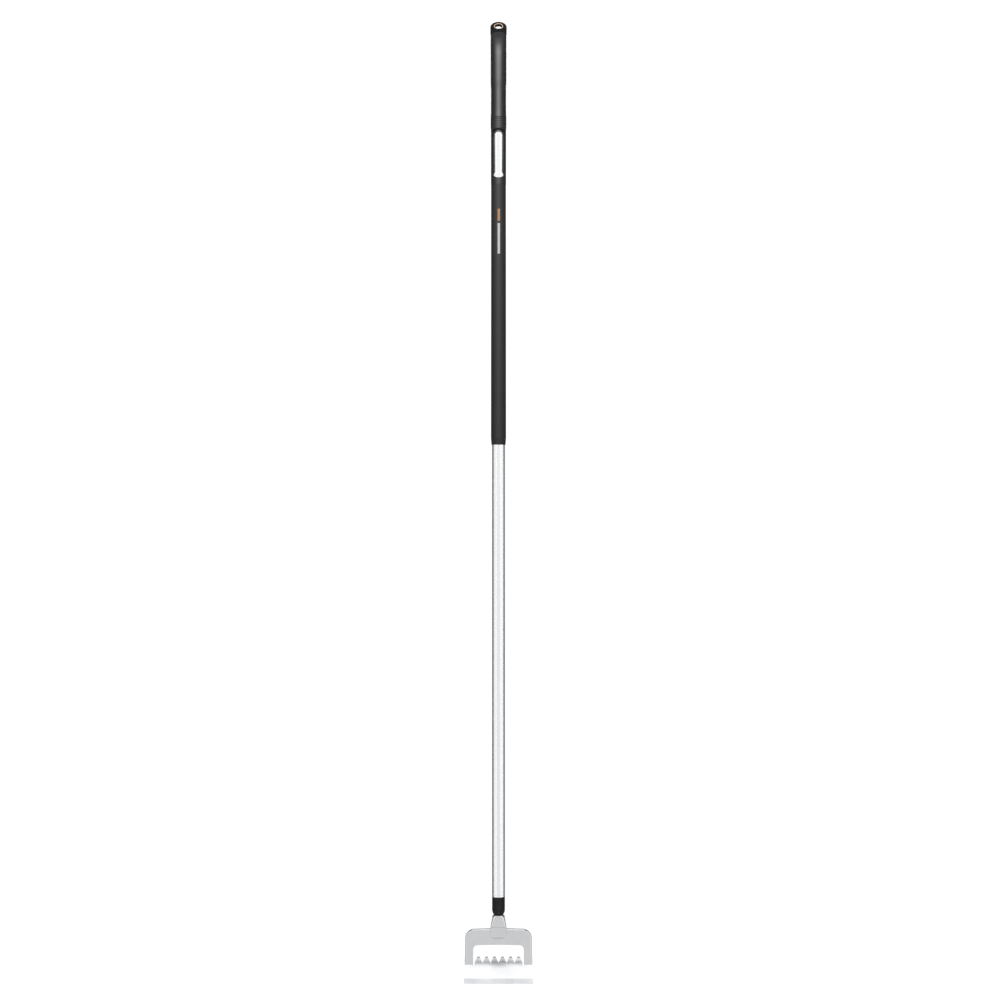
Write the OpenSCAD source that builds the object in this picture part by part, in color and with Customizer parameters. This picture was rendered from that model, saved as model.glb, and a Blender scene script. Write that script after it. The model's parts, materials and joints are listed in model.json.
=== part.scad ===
// Long draw hoe: a toothed stirrup head of pressed steel on an aluminium tube with a cushioned handle.
// The origin is the centre of the hanging hole. +Z runs up the shaft and -Y is the front.
// Inside the modules z = 0 is the shoulder where the tube seats on the ferrule.

/* [Shaft] */
// Outside diameter of the aluminium tube
tube_d = 22; // [18:0.5:27]
// Wall of the aluminium tube
tube_wall = 1.2; // [0.9:0.1:1.6]
// Length of the aluminium tube
tube_len = 1350; // [1100:10:1650]
// Radial clearance of everything that slides into or over the tube
fit_gap = 0.1; // [0.05:0.05:0.2]

/* [Handle] */
// Wall of the grip at its waist
waist_wall = 1.75; // [1.4:0.05:2.1]
// Wall of the grip at the side of the palm
palm_wall = 2.35; // [2:0.05:3]
// Wall of the grip at the back of the palm
heel_wall = 4; // [3:0.1:5]
// Thickness of the soft layer over the hard core
cushion = 2.2; // [1.8:0.1:2.6]
// Step from the soft grip out to the hard end
end_step = 0.45; // [0.2:0.05:0.8]
// Radius of the bend that carries the end backwards
bend_r = 70; // [60:1:85]
// Angle of the bend
bend_angle = 40; // [34:1:46]
// Distance from the tube's top end to the start of the bend
bend_start = 63; // [53:1:76]
// Radius of the round end about the hanging hole
end_r = 14; // [13:0.25:17]
// Thickness of the round end
end_t = 8; // [7:0.25:9.6]
// Radius of the hanging hole
hang_r = 5.8; // [4.8:0.1:7]
// Radius of the orange ring's mouth
ring_mouth_r = 7.9; // [7.6:0.1:8.2]
// Depth of the orange ring
ring_depth = 3.4; // [2.8:0.1:3.8]
// Length of the orange inlay at the back of the waist
inlay_len = 34; // [28:1:41]
// Thickness of the orange inlay
inlay_t = 1; // [0.7:0.1:1.2]
// Length of the core's plug inside the tube
core_plug = 60; // [40:1:75]
// Diameter of the cross pin through tube and core
core_pin_d = 4; // [3:0.5:5]

/* [Collar and sleeve] */
// Distance from the tube's top end down to the collar's top end
collar_drop = 42; // [38:1:50]
// Length of the collar
collar_len = 112; // [100:1:134]
// Wall of the collar beside its window
collar_wall = 1.65; // [1.4:0.05:1.9]
// Wall of the collar's upper band
band_wall = 2.15; // [1.95:0.05:2.6]
// Length of the collar's upper band
band_len = 21; // [17:1:25]
// Width of the window at its top
window_w = 13; // [11:0.5:15.5]
// Width of the window where its foot flares out
window_foot_w = 17; // [15.6:0.2:18.5]
// Distance from the collar's bottom end to the window
window_rise = 11; // [9:0.5:13]
// Height of the window
window_h = 77; // [64:1:80]
// Length of the soft sleeve
sleeve_len = 437; // [360:1:525]
// Wall of the soft sleeve
sleeve_wall = 1.6; // [1.4:0.05:2]
// Length of the taper at the sleeve's lower end
sleeve_taper = 11; // [9:0.5:14]

/* [Ferrule] */
// Length of the ferrule from the tube to the neck
nose_len = 31; // [28:1:37]
// Step from the tube down to the ferrule
nose_step = 0.2; // [0.1:0.05:0.4]
// Radius of the ferrule's rounded nose
nose_r = 14; // [12:0.5:17]
// Length of the ferrule's rounded nose
nose_round = 9.5; // [7.5:0.5:11]
// Length of the ferrule inside the tube
ferrule_plug = 45; // [36:1:56]
// Diameter of the steel tang
tang_d = 10; // [8:0.5:12]
// Length of the tang above the shoulder
tang_up = 38; // [30:1:40]
// Diameter of the pin through ferrule and tang
tang_pin_d = 3.5; // [2.5:0.25:4.25]
// Depth of the tang pin below the shoulder
tang_pin_drop = 18.5; // [15:0.5:20]

/* [Head] */
// Width of the frame across its legs
frame_w = 111.6; // [100:0.2:134]
// Height of the frame from its top edge to the bend
frame_h = 60.4; // [56:0.2:72]
// Width of the blade at its cutting edge
edge_w = 116.8; // [105:0.2:140]
// Outer radius of the frame's shoulders
shoulder_r = 15.5; // [13:0.5:18]
// Width of the opening between the legs
gap_w = 84.9; // [84:0.1:87]
// Distance from the frame's top edge down to the opening
bridge_h = 27.2; // [25:0.2:32]
// Corner radius of the opening
gap_r = 7.5; // [6:0.5:9]
// Thickness of the steel sheet
sheet_t = 2.4; // [2:0.1:2.8]
// Depth of the turned-back rim around the frame
rim_depth = 10; // [8:0.5:12]
// Angle of the blade away from the shaft
blade_angle = 50; // [42:1:60]
// Length of the blade's flat, from the bend to the ground bevel
flat_len = 29; // [24:0.5:34]
// Length of the ground bevel
bevel_len = 10.5; // [8.8:0.1:12.6]
// Thickness left at the cutting edge
edge_t = 0.5; // [0.3:0.1:0.8]
// Number of teeth
teeth = 6; // [5:1:6]
// Distance from tooth to tooth
tooth_pitch = 13.45; // [11.2:0.05:13.8]
// Length of a tooth behind the bend
tooth_len = 18.5; // [15.5:0.5:22]
// Width of a tooth at its tip
tooth_tip = 5; // [4:0.25:6]
// Length of neck between the ferrule and the frame
neck_len = 22; // [18:0.5:26.4]
// Width of the neck where it meets the frame
neck_w = 27; // [25:0.5:32.5]
// Width of the neck a third of the way down
neck_upper_w = 23.4; // [21:0.2:25]
// Height of the neck's pad on the front of the frame
pad_h = 18.7; // [16:0.1:22]
// Size of the weld beads
weld_r = 1.8; // [1.4:0.1:2.2]

/* [Hidden] */
$fn = 64;
through = 1; // how far a cut runs past the surface it opens
slice = 0.01; // thickness of the slices that a hull joins
lap = 1.5; // how far the pieces of one solid run into each other
sides = 28; // points around a section of the handle
ring_step = 6; // distance between sections along the handle

tube_r = tube_d / 2;
bore_r = tube_r - tube_wall;
plug_r = bore_r - fit_gap;
over_r = tube_r + fit_gap;
bond_gap = fit_gap + tube_r * (1 / cos(180 / sides) - 1); // keeps the flats of a section clear of the tube
crimp_z = 3.6;
crimp_r = 0.5;

// The handle's centre line is measured by s, from the tube's top end.
bend_len = bend_r * bend_angle * PI / 180;
end_reach = 7;
grip_end_s = bend_start + bend_len - 8;
hole_s = bend_start + bend_len + end_reach;
hole_y = line_y(hole_s);
hole_z = tube_len + line_z(hole_s);
waist_r = tube_r + waist_wall;
palm_w = tube_r + palm_wall;
heel_r = tube_r + heel_wall;
waist_low_s = -collar_drop + 12;
waist_top_s = 5;
palm_low_s = 22;
palm_mid_s = 46;
dish_s = bend_start + bend_len / 2;
dish_t = 18.4;
grip_end_t = 11.4;

// Sections of the grip: [s, half width, front depth, back depth, soft layer, squareness].
sections = [
    [-collar_drop, tube_r + band_wall, tube_r + band_wall, tube_r + band_wall, waist_wall, 2],
    [waist_low_s, waist_r, waist_r, waist_r, waist_wall, 2],
    [waist_top_s, waist_r, waist_r, waist_r, waist_wall, 2],
    [palm_low_s, palm_w, palm_w, heel_r - 1, cushion, 2.05],
    [palm_mid_s, palm_w, palm_w, heel_r, cushion, 2.1],
    [bend_start, palm_w, palm_w - 1, heel_r - 1.2, cushion, 2.15],
    [dish_s, palm_w, dish_t / 2, dish_t / 2, cushion, 2.2],
    [grip_end_s, palm_w, grip_end_t / 2, grip_end_t / 2, cushion, 2.5]
];

collar_top = tube_len - collar_drop;
collar_low = collar_top - collar_len;
collar_r = tube_r + collar_wall;
band_r = tube_r + band_wall;
band_fade = 5;
window_low = collar_low + window_rise;
window_side = 0.4; // how much narrower each side of the window is at its foot
window_foot_h = 12;
sleeve_r = tube_r + sleeve_wall;
sleeve_low = collar_low - sleeve_len;
inlay_top_s = waist_top_s - 1;

nose_top_r = tube_r - nose_step;
nose_straight = nose_len - nose_round;
nose_turn = asin(nose_round / nose_r);
seat_r = nose_top_r - nose_r * (1 - cos(nose_turn));
seat_depth = neck_len / 3 - 0.3;
seat_low = -nose_len - seat_depth;
foot_h = 8;
foot_gap = 0.05;
pin_sink = 1.1;
rib_count = 20;
rib_z = -10.6;
rib_h = 5;
rib_w = 1.2;
rib_depth = 0.4;

frame_top = -nose_len - neck_len;
bend_z = frame_top - frame_h;
plate_front = -6;
plate_back = plate_front + sheet_t;
edge_drop = (flat_len + bevel_len) * cos(blade_angle);
edge_z = bend_z - edge_drop;
crown = 1.1; // how far the frame's top edge rises towards the neck
leg_straight = 37; // height of the frame's parallel sides
tip_grind = 7;
neck_top_r = seat_r + fit_gap + sheet_t;
lip_h = 2.4;
lip_t = 0.5;
neck_corner_r = 4;
neck_slot = 9;

// Height, set-back and tilt of the handle's centre line at s.
function tilt(s) = min(bend_angle, max(0, s - bend_start) / bend_r * 180 / PI);
function past(s) = max(0, s - bend_start - bend_len);
function line_y(s) = bend_r * (1 - cos(tilt(s))) + past(s) * sin(bend_angle);
function line_z(s) = min(s, bend_start) + bend_r * sin(tilt(s)) + past(s) * cos(bend_angle);

// A smooth curve through one column of the sections. It never overshoots and stays flat between equal stations.
last_station = len(sections) - 1;
function rise(i, k) = (sections[i + 1][k] - sections[i][k]) / (sections[i + 1][0] - sections[i][0]);
function turns(i, k) = i == 0 || i == last_station ? true : rise(i - 1, k) * rise(i, k) <= 0;
function slope(i, k) = turns(i, k) ? 0 : 2 / (1 / rise(i - 1, k) + 1 / rise(i, k));
function span(s, i = 0) = i >= last_station - 1 || s <= sections[i + 1][0] ? i : span(s, i + 1);
function curve(t, h, v0, v1, m0, m1) =
    v0 * (1 + 2 * t) * pow(1 - t, 2) + v1 * t * t * (3 - 2 * t) + h * t * (1 - t) * (m0 * (1 - t) - m1 * t);
function between(s, k, i, h) =
    curve(max(0, min(1, (s - sections[i][0]) / h)), h, sections[i][k], sections[i + 1][k], slope(i, k), slope(i + 1, k));
function at(s, k) = let (i = span(s)) between(s, k, i, sections[i + 1][0] - sections[i][0]);

// One closed section at s, with its sizes pulled in by inset.
function power(c, p) = sign(c) * pow(abs(c), 2 / p);
function section(s, inset) = [
    for (i = [0:sides - 1])
        let (a = i * 360 / sides, p = at(s, 5), d = power(sin(a), p))
        let (x = (at(s, 1) - inset) * power(cos(a), p))
        let (y = d * ((d < 0 ? at(s, 2) : at(s, 3)) - inset))
        [x, line_y(s) + y * cos(tilt(s)), tube_len + line_z(s) - y * sin(tilt(s))]
];
function stops(from, to) = concat([for (s = [from:ring_step:to - ring_step / 2]) s], [to]);

// A solid through the handle's sections from one s to another. Skin is how much of the soft layer to take off.
module handle_body(from, to, skin, grow) {
    marks = stops(from, to);
    rings = [for (s = marks) section(s, skin * at(s, 4) - grow)];
    last = len(marks) - 1;
    walls = [
        for (j = [0:last - 1], i = [0:sides - 1])
            let (a = j * sides + i, b = j * sides + (i + 1) % sides)
            each [[a, a + sides, b], [b, a + sides, b + sides]]
    ];
    low = [[for (i = [0:sides - 1]) i]];
    high = [[for (i = [sides - 1:-1:0]) last * sides + i]];
    polyhedron(points = [for (r = rings) each r], faces = concat(walls, low, high), convexity = 4);
}

module place() {
    translate([0, -hole_y, -hole_z]) children();
}

// The hanging hole's own frame: its axis is +Z and comes out of the front of the round end.
module at_hole() {
    translate([0, hole_y, hole_z]) rotate([90 - bend_angle, 0, 0]) children();
}

module pipe(h, outer, inner) {
    difference() {
        cylinder(h = h, r = outer);
        translate([0, 0, -through]) cylinder(h = h + 2 * through, r = inner);
    }
}

// A rod along X or Y through the shaft's axis, as for a cross pin.
module cross_rod(z, d, length, turn) {
    translate([0, 0, z]) rotate(turn) cylinder(h = length, d = d, center = true);
}

module core_pin_place(d) {
    cross_rod(tube_len - core_plug / 2, d, tube_d + 2 * through, [0, 90, 0]);
}

module shaft_tube() {
    color("#c6c9cc") place() difference() {
        pipe(tube_len, tube_r, bore_r);
        translate([0, 0, crimp_z]) rotate_extrude() translate([tube_r, 0]) circle(r = crimp_r, $fn = 24);
        core_pin_place(core_pin_d);
    }
}

// A disc with rounded edges that makes the handle's round end.
module round_end() {
    edge = end_t / 2 - 0.5;
    rotate_extrude($fn = 48) {
        translate([0, -end_t / 2]) square([end_r - edge, end_t]);
        translate([0, -0.5]) square([end_r, 1]);
        for (side = [-1, 1]) translate([end_r - edge, side * 0.5]) circle(r = edge, $fn = 24);
    }
}

module handle_core() {
    lip = 2 * end_step;
    color("#1b1b1d") place() difference() {
        union() {
            translate([0, 0, tube_len - core_plug]) cylinder(h = core_plug + lap, r = plug_r);
            handle_body(0, grip_end_s + lap, 1, 0);
            hull() {
                handle_body(grip_end_s, grip_end_s + lip, 0, end_step);
                at_hole() round_end();
            }
        }
        at_hole() {
            cylinder(h = end_t * 2, r = hang_r, center = true);
            translate([0, 0, end_t / 2 - ring_depth]) cylinder(h = end_t, r = ring_seat_r());
            translate([0, 0, -end_t]) cylinder(h = end_t / 2 + 1.2, r1 = hang_r + 4.8, r2 = hang_r);
        }
        core_pin_place(core_pin_d);
    }
}

function ring_seat_r() = ring_mouth_r + 1.2;

module hang_ring() {
    inner = hang_r + 0.3;
    outer = ring_seat_r() - fit_gap;
    color("#f0641a") place() at_hole() translate([0, 0, end_t / 2 - ring_depth]) rotate_extrude()
        polygon([[inner, 0], [outer, 0], [outer, ring_depth], [ring_mouth_r, ring_depth], [inner, 0.8]]);
}

module palm_grip() {
    color("#3a3a3e") place() difference() {
        handle_body(-collar_drop, grip_end_s, 0, 0);
        handle_body(-collar_drop - through, grip_end_s + through, 1, bond_gap);
        inlay_block(fit_gap);
    }
}

// The rounded panel that the orange inlay fills at the back of the waist.
module inlay_block(grow) {
    h = inlay_len + 2 * grow;
    w = 2 * waist_r + through;
    middle = tube_len + inlay_top_s - inlay_len / 2;
    difference() {
        translate([-w / 2, -grow, middle - h / 2]) cube([w, waist_r + through, h]);
        translate([0, 0, middle - h]) cylinder(h = 2 * h, r = waist_r - inlay_t - grow);
    }
}

module grip_inlay() {
    color("#e8622a") place() intersection() {
        inlay_block(0);
        translate([0, 0, collar_top]) cylinder(h = 2 * collar_drop, r = waist_r);
    }
}

module handle_pin() {
    color("#9a9ca0") place()
        cross_rod(tube_len - core_plug / 2, core_pin_d - 2 * fit_gap, tube_d - 0.4, [0, 90, 0]);
}

// Outline of the collar's window, seen from the front.
module window_outline() {
    head_r = window_w / 2;
    foot_r = window_foot_w / 2;
    bowl_r = foot_r * 1.2;
    waist = head_r - window_side;
    translate([0, window_low + window_h - head_r]) circle(r = head_r);
    polygon([
        [-head_r, window_low + window_h - head_r], [head_r, window_low + window_h - head_r],
        [waist, window_low + window_foot_h], [foot_r, window_low + bowl_r / 2],
        [-foot_r, window_low + bowl_r / 2], [-waist, window_low + window_foot_h]
    ]);
    intersection() {
        translate([0, window_low + bowl_r]) circle(r = bowl_r);
        translate([-foot_r, window_low]) square([window_foot_w, bowl_r / 2]);
    }
}

module window_collar() {
    color("#161617") place() difference() {
        union() {
            translate([0, 0, collar_low]) cylinder(h = collar_len, r = collar_r);
            translate([0, 0, collar_top - band_len + band_fade]) cylinder(h = band_len - band_fade, r = band_r);
            translate([0, 0, collar_top - band_len]) cylinder(h = band_fade, r1 = collar_r, r2 = band_r);
        }
        translate([0, 0, collar_low - through]) cylinder(h = collar_len + 2 * through, r = over_r);
        rotate([90, 0, 0]) linear_extrude(height = 4 * tube_r, center = true) window_outline();
    }
}

module long_sleeve() {
    taper_r = tube_r + sleeve_wall / 2;
    color("#2b2b2d") place() difference() {
        union() {
            translate([0, 0, sleeve_low + sleeve_taper]) cylinder(h = sleeve_len - sleeve_taper, r = sleeve_r);
            translate([0, 0, sleeve_low]) cylinder(h = sleeve_taper, r1 = taper_r, r2 = sleeve_r);
        }
        translate([0, 0, sleeve_low - through]) cylinder(h = sleeve_len + 2 * through, r = over_r);
    }
}

// Half profile of the ferrule: plug, shoulder, straight flank, rounded nose and seat for the neck.
module ferrule_profile() {
    nose = [
        for (i = [0:8])
            let (a = nose_turn * i / 8)
            [nose_top_r - nose_r * (1 - cos(a)), -nose_straight - nose_r * sin(a)]
    ];
    polygon(concat(
        [[0, ferrule_plug], [plug_r - 1, ferrule_plug], [plug_r, ferrule_plug - 1.5], [plug_r, 0], [nose_top_r, 0]],
        nose,
        [[seat_r, seat_low], [0, seat_low]]
    ));
}

module ferrule() {
    color("#232325") place() difference() {
        rotate_extrude() ferrule_profile();
        translate([0, 0, seat_low - through]) cylinder(h = tang_up - seat_low + 2 * through, r = tang_d / 2 + fit_gap);
        cross_rod(-tang_pin_drop, tang_pin_d + 2 * fit_gap, tube_d + 2 * through, [90, 0, 0]);
        for (i = [0:rib_count - 1])
            rotate(i * 360 / rib_count)
                translate([-rib_w / 2, nose_top_r - rib_depth, rib_z]) cube([rib_w, 2 * rib_depth, rib_h]);
    }
}

// A rod in the ferrule on a foot that fills the neck.
module tang() {
    color("#8f9296") place() difference() {
        union() {
            translate([0, 0, seat_low - lap]) cylinder(h = tang_up - seat_low + lap, r = tang_d / 2);
            intersection() {
                neck_shell(sheet_t + foot_gap);
                translate([-neck_w / 2, -tube_d / 2, seat_low - foot_h]) cube([neck_w, tube_d, foot_h]);
            }
        }
        cross_rod(-tang_pin_drop, tang_pin_d + 2 * fit_gap, tube_d, [90, 0, 0]);
    }
}

module tang_pin() {
    color("#6d7074") place()
        cross_rod(-tang_pin_drop, tang_pin_d, 2 * (nose_top_r - pin_sink), [90, 0, 0]);
}

// The neck's shell without its pad: round at the ferrule and flattened where it meets the frame.
module neck_shell(inset) {
    corner = neck_corner_r - inset / 2;
    half = neck_w / 2 - inset - corner;
    front = plate_front - sheet_t + inset + corner;
    back = plate_front + rim_depth - inset - corner;
    upper_r = neck_top_r - inset;
    hull() {
        translate([0, 0, -nose_len]) cylinder(h = slice, r = upper_r, $fn = 32);
        for (side = [-1, 1])
            translate([side * (neck_upper_w / 2 - neck_top_r), 0, -nose_len - neck_len / 3])
                cylinder(h = slice, r = upper_r, $fn = 32);
        for (x = [-half, half], y = [front, back])
            translate([x, y, frame_top]) cylinder(h = slice, r = corner, $fn = 32);
    }
}

module neck() {
    color("#c9cbcd") place() {
        difference() {
            union() {
                neck_shell(0);
                translate([0, 0, -nose_len - lip_h]) cylinder(h = lip_h, r = neck_top_r + lip_t);
            }
            neck_shell(sheet_t);
            translate([0, 0, -nose_len - lip_h - through]) cylinder(h = lip_h + 2 * through, r = seat_r + fit_gap);
            translate([-neck_slot / 2, 0, frame_top + 2 * sheet_t])
                cube([neck_slot, tube_d, neck_len - 4 * sheet_t]);
        }
        translate([0, plate_front, frame_top + slice]) rotate([90, 0, 0]) linear_extrude(height = sheet_t)
            pad_outline();
    }
}

// The pad that laps the front of the frame, with rounded lower corners.
module pad_outline() {
    r = 3;
    half = neck_w / 2;
    translate([-half, -pad_h + r]) square([neck_w, pad_h - r]);
    translate([-half + r, -pad_h]) square([neck_w - 2 * r, r]);
    for (side = [-1, 1]) translate([side * (half - r), -pad_h + r]) circle(r = r);
}

// A quarter-round bead of weld of the given length, lying in the corner between two faces.
module bead(length) {
    linear_extrude(height = length) intersection() {
        square(weld_r);
        circle(r = weld_r);
    }
}

module weld_beads() {
    low = frame_top - pad_h;
    side_len = pad_h - 6;
    foot_len = neck_w - 8;
    color("#a9acaf") place() {
        for (side = [0, 1])
            mirror([side, 0, 0])
                translate([neck_w / 2, plate_front, low + 4]) rotate([0, 0, -90]) bead(side_len);
        translate([-foot_len / 2, plate_front, low]) rotate([0, 90, 0]) rotate([0, 0, -90]) bead(foot_len);
    }
}

// Front outline of the whole head, pulled in by inset all round.
module head_outline(inset) {
    half = frame_w / 2 - inset;
    top = frame_top - inset;
    r = shoulder_r - inset;
    foot = edge_w / 2 - inset;
    knee = half + (foot - half) * 0.45;
    polygon([
        [-neck_w / 2, top], [neck_w / 2, top], [half - r, top - crown], [half, top - crown - r],
        [half, frame_top - leg_straight], [knee, bend_z], [foot, edge_z + 2], [foot - 2, edge_z - through],
        [-foot + 2, edge_z - through], [-foot, edge_z + 2], [-knee, bend_z], [-half, frame_top - leg_straight],
        [-half, top - crown - r], [-half + r, top - crown]
    ]);
    for (side = [-1, 1]) translate([side * (half - r), top - crown - r]) circle(r = r);
}

// Side profile of the bent sheet: leg, bend, blade flat and ground bevel.
module sheet_profile() {
    along = [-sin(blade_angle), -cos(blade_angle)];
    up = [-cos(blade_angle), sin(blade_angle)];
    bend = [plate_front, bend_z];
    heel = [plate_back, bend_z - sheet_t * tan(blade_angle / 2)];
    flat_end = bend + flat_len * along;
    edge = bend + (flat_len + bevel_len) * along;
    polygon([
        [plate_front, frame_top], bend, flat_end, edge - (sheet_t - edge_t) * up, edge - sheet_t * up, heel,
        [plate_back, frame_top]
    ]);
}

// The opening between the legs, seen from the front.
module gap_outline() {
    half = gap_w / 2;
    top = frame_top - bridge_h;
    polygon([
        [-half, bend_z - through], [half, bend_z - through], [half, top - gap_r], [half - gap_r, top - crown / 2],
        [0, top], [-half + gap_r, top - crown / 2], [-half, top - gap_r]
    ]);
    for (side = [-1, 1]) translate([side * (half - gap_r), top - crown / 2 - gap_r]) circle(r = gap_r);
}

// Turns a side profile, drawn as [y, z], into a solid that spans the head's width.
module across_head() {
    rotate([90, 0, 90]) linear_extrude(height = 2 * edge_w, center = true) children();
}

module through_head() {
    rotate([90, 0, 0]) linear_extrude(height = 4 * edge_w, center = true) children();
}

module tooth() {
    root = 3.5;
    half = tooth_pitch / 2;
    polygon([
        [-half, -sheet_t], [half, -sheet_t], [half, root], [tooth_tip / 2, tooth_len], [-tooth_tip / 2, tooth_len],
        [-half, root]
    ]);
}

// The row of teeth in the blade's own plane, where +Y runs back along the blade.
module tooth_row() {
    difference() {
        translate([0, 0, -sheet_t]) linear_extrude(height = sheet_t)
            for (i = [0:teeth - 1]) translate([(i - (teeth - 1) / 2) * tooth_pitch, 0]) tooth();
        translate([0, tooth_len - tip_grind, 0]) rotate([-14, 0, 0])
            translate([-edge_w, 0, 0]) cube([2 * edge_w, 2 * tip_grind, sheet_t]);
    }
}

module frame_rim() {
    rim_low = frame_top - leg_straight - 14;
    intersection() {
        translate([0, plate_front + rim_depth, 0]) rotate([90, 0, 0]) linear_extrude(height = rim_depth)
            difference() {
                head_outline(0);
                head_outline(sheet_t);
            }
        across_head() polygon([
            [plate_front, frame_top], [plate_front + rim_depth, frame_top], [plate_front + rim_depth, rim_low],
            [plate_front, rim_low - rim_depth]
        ]);
    }
}

module blade_frame() {
    color("#bfc2c5") place() {
        intersection() {
            difference() {
                across_head() sheet_profile();
                intersection() {
                    through_head() gap_outline();
                    translate([-edge_w, plate_front, bend_z]) cube([2 * edge_w, edge_w, frame_h]);
                }
            }
            through_head() head_outline(0);
        }
        frame_rim();
        translate([0, plate_front, bend_z]) rotate([90 - blade_angle, 0, 0]) tooth_row();
    }
}

shaft_tube();
handle_core();
palm_grip();
grip_inlay();
hang_ring();
handle_pin();
window_collar();
long_sleeve();
ferrule();
tang();
tang_pin();
neck();
weld_beads();
blade_frame();
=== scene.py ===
import json
import math

import bmesh
import bpy
from mathutils import Matrix, Vector

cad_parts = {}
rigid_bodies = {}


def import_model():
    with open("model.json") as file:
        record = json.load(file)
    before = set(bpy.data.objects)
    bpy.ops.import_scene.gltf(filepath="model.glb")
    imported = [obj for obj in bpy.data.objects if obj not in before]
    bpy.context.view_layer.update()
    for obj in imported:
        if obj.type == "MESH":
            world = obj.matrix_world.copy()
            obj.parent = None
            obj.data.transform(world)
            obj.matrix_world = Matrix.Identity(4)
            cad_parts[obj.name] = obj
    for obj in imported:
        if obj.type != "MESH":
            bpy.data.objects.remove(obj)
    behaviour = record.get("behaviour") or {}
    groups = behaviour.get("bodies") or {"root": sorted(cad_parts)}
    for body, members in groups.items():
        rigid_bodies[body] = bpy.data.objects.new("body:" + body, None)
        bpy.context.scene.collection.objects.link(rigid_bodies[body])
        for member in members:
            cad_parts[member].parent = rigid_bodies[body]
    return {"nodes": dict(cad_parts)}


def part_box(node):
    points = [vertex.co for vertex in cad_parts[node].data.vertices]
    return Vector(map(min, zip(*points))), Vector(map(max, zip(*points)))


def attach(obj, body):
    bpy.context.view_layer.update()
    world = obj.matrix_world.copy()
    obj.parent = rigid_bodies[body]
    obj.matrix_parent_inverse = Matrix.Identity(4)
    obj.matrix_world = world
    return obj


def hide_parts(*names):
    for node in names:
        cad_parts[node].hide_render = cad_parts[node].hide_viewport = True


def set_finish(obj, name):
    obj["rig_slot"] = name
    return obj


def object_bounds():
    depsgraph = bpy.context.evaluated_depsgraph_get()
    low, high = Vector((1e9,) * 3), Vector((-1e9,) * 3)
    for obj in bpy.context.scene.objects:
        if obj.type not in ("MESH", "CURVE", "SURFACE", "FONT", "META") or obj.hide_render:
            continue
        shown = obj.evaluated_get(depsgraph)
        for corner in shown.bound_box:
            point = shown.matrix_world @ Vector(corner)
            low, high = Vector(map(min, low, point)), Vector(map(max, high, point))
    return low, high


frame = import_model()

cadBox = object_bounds()

# Everything is drawn in millimetres about the tube's axis, with z = 0 where the tube seats on the ferrule.
tubeLow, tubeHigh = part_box("shaft_tube")
tubeLength = (tubeHigh.z - tubeLow.z) * 1000
axisAt = Vector(((tubeLow.x + tubeHigh.x) / 2, (tubeLow.y + tubeHigh.y) / 2, tubeLow.z))
toRow = Matrix.Translation(axisAt) @ Matrix.Scale(0.001, 4)


def toLinear(hexColour):  # sRGB hex to the linear colour a shader wants
    parts = [int(hexColour[i:i + 2], 16) / 255 for i in (1, 3, 5)]
    return [p / 12.92 if p <= 0.04045 else ((p + 0.055) / 1.055) ** 2.4 for p in parts] + [1]


def smooth(t):
    t = max(0, min(1, t))
    return t * t * (3 - 2 * t)


def mix(a, b, t):
    return a + (b - a) * t


def squircle(angle, power):  # a point on a rounded square of half width 1; power 1 gives a circle
    c, s = math.cos(angle), math.sin(angle)
    return math.copysign(abs(c) ** power, c), math.copysign(abs(s) ** power, s)


def roundCorners(corners, steps=4):  # (x, y, radius) all the way round
    points = []
    for i, (x, y, radius) in enumerate(corners):
        here = Vector((x, y))
        if not radius:
            points.append(here)
            continue
        before = (Vector(corners[i - 1][:2]) - here).normalized()
        after = (Vector(corners[(i + 1) % len(corners)][:2]) - here).normalized()
        half = before.angle(after) / 2
        middle = here + (before + after).normalized() * (radius / math.sin(half))
        start = here + before * (radius / math.tan(half)) - middle
        turn = start.angle_signed(here + after * (radius / math.tan(half)) - middle)
        points += [middle + Matrix.Rotation(-turn * k / steps, 2) @ start for k in range(steps + 1)]
    return points


def spinProfile(bm, points, steps):  # a closed outline in x and z, turned about the z axis
    verts = [bm.verts.new((p[0], 0, p[1])) for p in points]
    edges = [bm.edges.new((a, b)) for a, b in zip(verts, verts[1:] + verts[:1])]
    bmesh.ops.spin(bm, geom=verts + edges, cent=(0, 0, 0), axis=(0, 0, 1), angle=2 * math.pi,
                   steps=steps, use_merge=True)
    tidyShell(bm)


def tidyShell(bm):
    bmesh.ops.remove_doubles(bm, verts=bm.verts, dist=0.0005)
    bmesh.ops.recalc_face_normals(bm, faces=bm.faces)


def placeLayer(bm):
    return bm.verts.layers.int.get("place") or bm.verts.layers.int.new("place")


def sweepRow(bm, edges, shape, station):  # one more row of faces, each new vertex put where shape says
    place = placeLayer(bm)
    made = bmesh.ops.extrude_edge_only(bm, edges=edges)["geom"]
    for v in made:
        if isinstance(v, bmesh.types.BMVert):
            v.co = shape(station, v[place])
    return [e for e in made if isinstance(e, bmesh.types.BMEdge)]


def loftRings(bm, sides, stations, shape):  # a skin through rings; equal end rings close it
    place = placeLayer(bm)
    ring = bmesh.ops.create_circle(bm, segments=sides, radius=1)["verts"]
    for i, v in enumerate(ring):
        v[place] = i
        v.co = shape(stations[0], i)
    edges = list({e for v in ring for e in v.link_edges})
    for station in stations[1:]:
        edges = sweepRow(bm, edges, shape, station)
    tidyShell(bm)


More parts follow.
